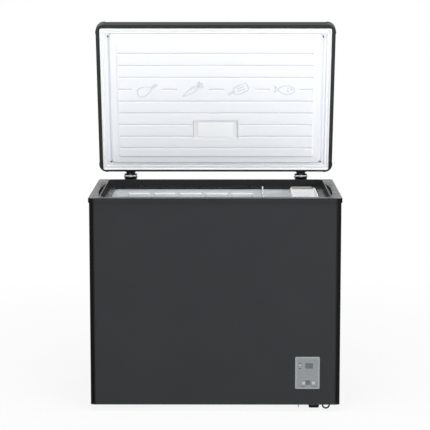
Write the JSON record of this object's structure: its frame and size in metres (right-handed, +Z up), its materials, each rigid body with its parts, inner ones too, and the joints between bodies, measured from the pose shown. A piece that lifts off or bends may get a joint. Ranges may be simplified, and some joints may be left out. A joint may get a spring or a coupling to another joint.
{
  "type": "chest freezer",
  "caption": "Charcoal chest freezer with its lift-up lid open: white ribbed lid lining, dark collar, basket and divider inside, control panel low on the front, sprung hinges behind.",
  "frame": {"origin": "on the floor, midway between the ends and midway between the front of the collar and the rearmost point of the open lid", "axes": "+X to the right-hand end seen from the front, +Y to the back where the hinges are, +Z up"},
  "size_m": [0.905, 0.6552, 1.3879],
  "materials": {
    "charcoal_sheet": "satin",
    "collar_plastic": "matte",
    "white_panel": "satin",
    "coated_liner": "satin",
    "white_seal": "matte",
    "insulation": "matte",
    "copper_tube": "satin",
    "coated_steel": "satin",
    "zinc_steel": "satin",
    "black_plastic": "matte",
    "black_rubber": "matte",
    "grey_plastic": "satin",
    "dark_window": "gloss",
    "clear_lens": "gloss",
    "white_plastic": "satin",
    "circuit_board": "satin",
    "white_wire": "gloss"
  },
  "bodies": {
    "cabinet": {"back_panel": "charcoal_sheet", "base_pan": "zinc_steel", "cabinet_foam": "insulation", "compressor": "coated_steel", "compressor_tray": "zinc_steel", "condenser_tube": "coated_steel", "control_bezel": "grey_plastic", "control_board": "circuit_board", "control_box": "black_plastic", "cord_gland": "black_rubber", "discharge_pipe": "copper_tube", "display_window": "dark_window", "drain_loop": "black_rubber", "drain_pipe": "white_plastic", "evaporator_tube": "copper_tube", "filter_drier": "copper_tube", "foot_back_left": "black_plastic", "foot_back_right": "black_plastic", "foot_front_left": "black_plastic", "foot_front_right": "black_plastic", "hinge_body_left": "coated_steel", "hinge_body_right": "coated_steel", "hinge_body_screws": "zinc_steel", "hinge_pin_left": "zinc_steel", "hinge_pin_right": "zinc_steel", "hinge_spring_left": "zinc_steel", "hinge_spring_right": "zinc_steel", "indicators": "dark_window", "inner_liner": "coated_liner", "machine_wall": "zinc_steel", "mount_bolts": "zinc_steel", "outer_wrap": "charcoal_sheet", "rear_cover": "coated_steel", "rubber_mounts": "black_rubber", "side_grille": "black_plastic", "starter_box": "black_plastic", "status_window": "dark_window", "suction_pipe": "copper_tube", "top_collar": "collar_plastic"},
    "lid": {"lid_skin": "charcoal_sheet", "lid_corner_caps": "collar_plastic", "lid_rim_frame": "collar_plastic", "lid_inner_panel": "white_panel", "lid_seal": "white_seal", "lid_foam": "insulation", "lamp_cover": "white_plastic", "lamp_lens": "clear_lens", "lamp_board": "circuit_board", "hinge_leaf_left": "coated_steel", "hinge_leaf_right": "coated_steel", "hinge_leaf_screws": "zinc_steel"},
    "plunger_left": {"hinge_plunger_left": "black_plastic"},
    "plunger_right": {"hinge_plunger_right": "black_plastic"},
    "basket": {"basket": "white_panel"},
    "divider": {"wire_divider": "white_wire"},
    "button_left": {"button_left": "grey_plastic"},
    "button_right": {"button_right": "grey_plastic"},
    "drain_plug": {"drain_plug": "white_plastic"}
  },
  "joints": [
    {"name": "lid_hinge", "type": "hinge", "parent": "cabinet", "child": "lid", "pos_m": [0, 0.28135, 0.785], "axis": [-1, 0, 0], "range_deg": [-73.33, 5]},
    {"name": "plunger_left_slide", "type": "slide", "parent": "cabinet", "child": "plunger_left", "axis": [0, 0, 1], "range_m": [-0.0073, 0.0006], "deforming": ["hinge_spring_left"]},
    {"name": "plunger_right_slide", "type": "slide", "parent": "cabinet", "child": "plunger_right", "axis": [0, 0, 1], "range_m": [-0.0073, 0.0006], "deforming": ["hinge_spring_right"]},
    {"name": "basket_slide", "type": "slide", "parent": "cabinet", "child": "basket", "axis": [1, 0, 0], "range_m": [-0.09, 0]},
    {"name": "divider_slide", "type": "slide", "parent": "cabinet", "child": "divider", "axis": [1, 0, 0], "range_m": [-0.5, 0]},
    {"name": "button_left_press", "type": "slide", "parent": "cabinet", "child": "button_left", "axis": [0, 1, 0], "range_m": [0, 0.0012], "stiffness_N_per_m": 400},
    {"name": "button_right_press", "type": "slide", "parent": "cabinet", "child": "button_right", "axis": [0, 1, 0], "range_m": [0, 0.0012], "stiffness_N_per_m": 400},
    {"name": "drain_plug_lift", "type": "slide", "parent": "cabinet", "child": "drain_plug", "axis": [0, 0, 1], "range_m": [0, 0.03]}
  ],
  "couplings": [
    {"joint": "plunger_left_slide", "follows": "lid_hinge", "m_per_rad": 0.005589},
    {"joint": "plunger_right_slide", "follows": "lid_hinge", "m_per_rad": 0.005589}
  ]
}
